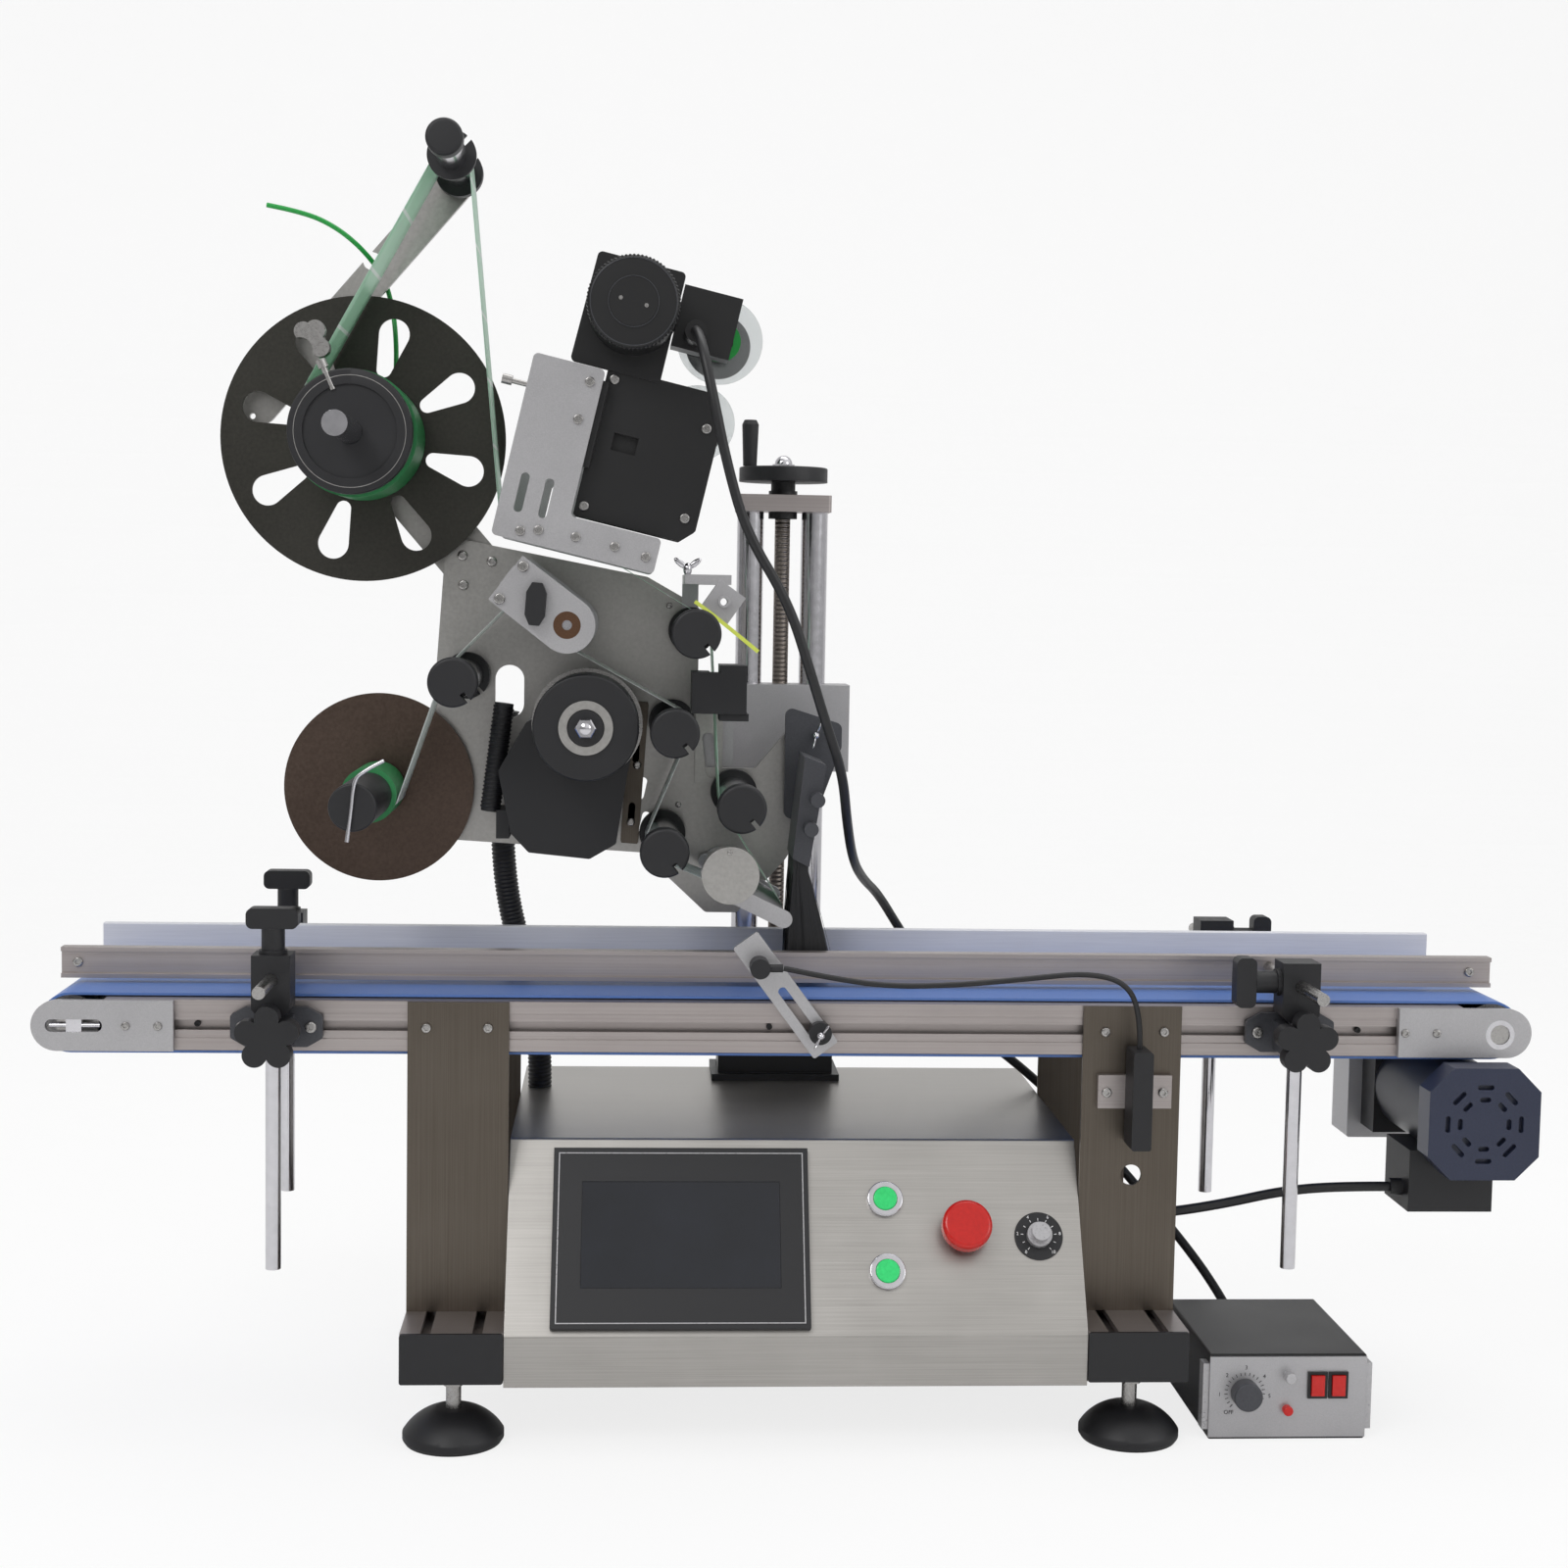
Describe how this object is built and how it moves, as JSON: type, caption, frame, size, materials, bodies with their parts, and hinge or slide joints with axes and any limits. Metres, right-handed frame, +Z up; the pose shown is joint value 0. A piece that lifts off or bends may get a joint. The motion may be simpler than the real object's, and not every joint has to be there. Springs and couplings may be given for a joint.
{
  "type": "tabletop flat labelling machine",
  "caption": "Tabletop labeller that presses printed labels onto flat goods carried by a belt conveyor, with an adjustable labelling head on a lift column.",
  "frame": {"origin": "on the table under the middle of the machine", "axes": "+X along the conveyor towards the motor end, +Y away from the operator, +Z up"},
  "size_m": [1.1998, 0.42, 1.0405],
  "materials": {
    "brushed_sheet": "brushed",
    "leg_steel": "brushed",
    "extrusion": "satin anodised",
    "head_metal": "satin",
    "chromed": "polished",
    "black_plastic": "fine texture",
    "black_paint": "satin",
    "blue_belt": "matte",
    "navy_paint": "semi-gloss",
    "green_cap": "translucent",
    "red_cap": "glossy",
    "reel_metal": "satin",
    "take_up_metal": "circular brushed",
    "roller_rubber": "matte",
    "clear_disc": "clear",
    "web_film": "thin film",
    "white_guide": "smooth",
    "cable_sheath": "smooth",
    "green_cord": "smooth",
    "steel_feet": "smooth"
  },
  "bodies": {
    "machine_frame": {"cabinet_shell": "brushed_sheet", "cabinet_base": "brushed_sheet", "foot_beams": "extrusion", "levelling_feet": "steel_feet", "leg_plates": "leg_steel", "conveyor_frame": "extrusion", "end_plates": "extrusion", "conveyor_belt": "blue_belt", "gear_motor": "navy_paint", "touch_panel": "black_plastic", "control_bezels": "chromed", "column_frame": "chromed", "rail_brackets": "black_paint", "sensor_amplifier": "black_plastic", "heater_box": "black_paint", "sensor_cable": "cable_sheath", "motor_cable": "cable_sheath", "coder_cable": "cable_sheath", "harness_hose": "cable_sheath"},
    "carriage": {"carriage_block": "head_metal", "head_plate": "head_metal", "reel_bar": "head_metal", "feed_gearcase": "black_plastic", "pinch_bracket": "extrusion", "printer_bracket": "extrusion", "printer_body": "black_paint", "label_web": "web_film", "peel_assembly": "extrusion", "label_sensor": "black_plastic", "brake_cord": "green_cord"},
    "tail_roller": {"tail_roller": "extrusion"},
    "drive_roller": {"drive_roller": "extrusion"},
    "start_button": {"start_button": "green_cap"},
    "stop_button": {"stop_button": "green_cap"},
    "emergency_stop": {"emergency_stop": "red_cap"},
    "speed_knob": {"speed_knob": "black_plastic"},
    "handwheel": {"handwheel": "black_plastic"},
    "crank_grip": {"crank_grip": "black_plastic"},
    "idler_top": {"idler_top": "chromed"},
    "idler_liner": {"idler_liner": "chromed"},
    "idler_entry": {"idler_entry": "chromed"},
    "idler_return": {"idler_return": "chromed"},
    "idler_peel": {"idler_peel": "chromed"},
    "idler_lower": {"idler_lower": "chromed"},
    "unwind_reel": {"unwind_reel": "reel_metal"},
    "take_up_reel": {"take_up_reel": "take_up_metal"},
    "feed_wheel": {"feed_wheel": "black_plastic"},
    "pinch_roller": {"pinch_roller": "roller_rubber"},
    "pinch_knob": {"pinch_knob": "black_plastic"},
    "ribbon_spool_upper": {"ribbon_spool_upper": "clear_disc"},
    "ribbon_spool_lower": {"ribbon_spool_lower": "clear_disc"},
    "brush_arm": {"brush_arm": "black_paint"},
    "product_sensor": {"product_sensor": "extrusion"},
    "front_posts": {"front_posts": "black_plastic"},
    "rear_posts": {"rear_posts": "black_plastic"},
    "front_guide": {"front_guide": "extrusion"},
    "rear_guide": {"rear_guide": "white_guide"},
    "heater_knob": {"heater_knob": "black_plastic"},
    "rocker_left": {"rocker_left": "red_cap"},
    "rocker_right": {"rocker_right": "red_cap"}
  },
  "joints": [
    {"name": "handwheel_turn", "type": "hinge", "parent": "machine_frame", "child": "handwheel", "pos_m": [0, 0.17, 0.772], "axis": [0, 0, 1], "range_deg": [0, 10801]},
    {"name": "crank_grip_spin", "type": "hinge", "parent": "handwheel", "child": "crank_grip", "pos_m": [-0.031, 0.16, 0.772], "axis": [0, 0, 1], "continuous": true},
    {"name": "carriage_lift", "type": "slide", "parent": "machine_frame", "child": "carriage", "axis": [0, 0, 1], "range_m": [0, 0.12]},
    {"name": "drive_roller_spin", "type": "hinge", "parent": "machine_frame", "child": "drive_roller", "pos_m": [0.574, 0, 0.324], "axis": [0, 1, 0], "continuous": true},
    {"name": "tail_roller_spin", "type": "hinge", "parent": "machine_frame", "child": "tail_roller", "pos_m": [-0.574, 0, 0.324], "axis": [0, 1, 0], "continuous": true},
    {"name": "start_press", "type": "slide", "parent": "machine_frame", "child": "start_button", "axis": [0, 0.8597, -0.5108], "range_m": [0, 0.003], "stiffness_N_per_m": 400, "springref_m": -0.001},
    {"name": "stop_press", "type": "slide", "parent": "machine_frame", "child": "stop_button", "axis": [0, 0.8597, -0.5108], "range_m": [0, 0.003], "stiffness_N_per_m": 400, "springref_m": -0.001},
    {"name": "emergency_press", "type": "slide", "parent": "machine_frame", "child": "emergency_stop", "axis": [0, 0.8597, -0.5108], "range_m": [0, 0.005]},
    {"name": "speed_turn", "type": "hinge", "parent": "machine_frame", "child": "speed_knob", "pos_m": [0.197, -0.13413, 0.16078], "axis": [0, -0.8597, 0.5108], "range_deg": [-140, 140]},
    {"name": "product_sensor_tilt", "type": "hinge", "parent": "machine_frame", "child": "product_sensor", "pos_m": [0.018, -0.115, 0.325], "axis": [0, 1, 0], "range_deg": [-25, 0]},
    {"name": "front_posts_lift", "type": "slide", "parent": "machine_frame", "child": "front_posts", "axis": [0, 0, 1], "range_m": [0, 0.018]},
    {"name": "front_guide_shift", "type": "slide", "parent": "front_posts", "child": "front_guide", "axis": [0, -1, 0], "range_m": [0, 0.035]},
    {"name": "rear_posts_lift", "type": "slide", "parent": "machine_frame", "child": "rear_posts", "axis": [0, 0, 1], "range_m": [0, 0.01]},
    {"name": "rear_guide_shift", "type": "slide", "parent": "rear_posts", "child": "rear_guide", "axis": [0, 1, 0], "range_m": [0, 0.03]},
    {"name": "heater_knob_turn", "type": "hinge", "parent": "machine_frame", "child": "heater_knob", "pos_m": [0.3637, -0.155, 0.0387], "axis": [0, -1, 0], "range_deg": [-140, 140]},
    {"name": "rocker_left_tip", "type": "hinge", "parent": "machine_frame", "child": "rocker_left", "pos_m": [0.4226, -0.1553, 0.045], "axis": [1, 0, 0], "range_deg": [-0.8, 0.8]},
    {"name": "rocker_right_tip", "type": "hinge", "parent": "machine_frame", "child": "rocker_right", "pos_m": [0.4396, -0.1553, 0.045], "axis": [1, 0, 0], "range_deg": [-0.8, 0.8]},
    {"name": "idler_top_spin", "type": "hinge", "parent": "carriage", "child": "idler_top", "pos_m": [-0.285, 0, 1.0205], "axis": [0, 1, 0], "continuous": true},
    {"name": "idler_liner_spin", "type": "hinge", "parent": "carriage", "child": "idler_liner", "pos_m": [-0.276, 0, 0.597], "axis": [0, 1, 0], "continuous": true},
    {"name": "idler_entry_spin", "type": "hinge", "parent": "carriage", "child": "idler_entry", "pos_m": [-0.0835, 0, 0.6385], "axis": [0, 1, 0], "continuous": true},
    {"name": "idler_return_spin", "type": "hinge", "parent": "carriage", "child": "idler_return", "pos_m": [-0.0995, 0, 0.559], "axis": [0, 1, 0], "continuous": true},
    {"name": "idler_peel_spin", "type": "hinge", "parent": "carriage", "child": "idler_peel", "pos_m": [-0.045, 0, 0.499], "axis": [0, 1, 0], "continuous": true},
    {"name": "idler_lower_spin", "type": "hinge", "parent": "carriage", "child": "idler_lower", "pos_m": [-0.1065, 0, 0.463], "axis": [0, 1, 0], "continuous": true},
    {"name": "unwind_reel_spin", "type": "hinge", "parent": "carriage", "child": "unwind_reel", "pos_m": [-0.364, 0, 0.796], "axis": [0, 1, 0], "continuous": true},
    {"name": "take_up_reel_spin", "type": "hinge", "parent": "carriage", "child": "take_up_reel", "pos_m": [-0.3505, 0, 0.4995], "axis": [0, 1, 0], "continuous": true},
    {"name": "feed_wheel_spin", "type": "hinge", "parent": "carriage", "child": "feed_wheel", "pos_m": [-0.171, 0, 0.561], "axis": [0, 1, 0], "continuous": true},
    {"name": "pinch_roller_spin", "type": "hinge", "parent": "carriage", "child": "pinch_roller", "pos_m": [-0.1865, 0, 0.6435], "axis": [0, 1, 0], "continuous": true},
    {"name": "pinch_knob_turn", "type": "hinge", "parent": "carriage", "child": "pinch_knob", "pos_m": [-0.211, 0, 0.66], "axis": [0, -1, 0], "range_deg": [-90, 0]},
    {"name": "ribbon_upper_spin", "type": "hinge", "parent": "carriage", "child": "ribbon_spool_upper", "pos_m": [-0.06607, 0, 0.87621], "axis": [0, 1, 0], "continuous": true},
    {"name": "ribbon_lower_spin", "type": "hinge", "parent": "carriage", "child": "ribbon_spool_lower", "pos_m": [-0.08332, 0, 0.8104], "axis": [0, 1, 0], "continuous": true},
    {"name": "brush_arm_tilt", "type": "hinge", "parent": "carriage", "child": "brush_arm", "pos_m": [0.012, 0.053, 0.548], "axis": [0, 1, 0], "range_deg": [-10, 0]}
  ],
  "couplings": [
    {"joint": "handwheel_turn", "follows": "carriage_lift", "rad_per_m": 1570.8},
    {"joint": "tail_roller_spin", "follows": "drive_roller_spin", "ratio": 1}
  ]
}
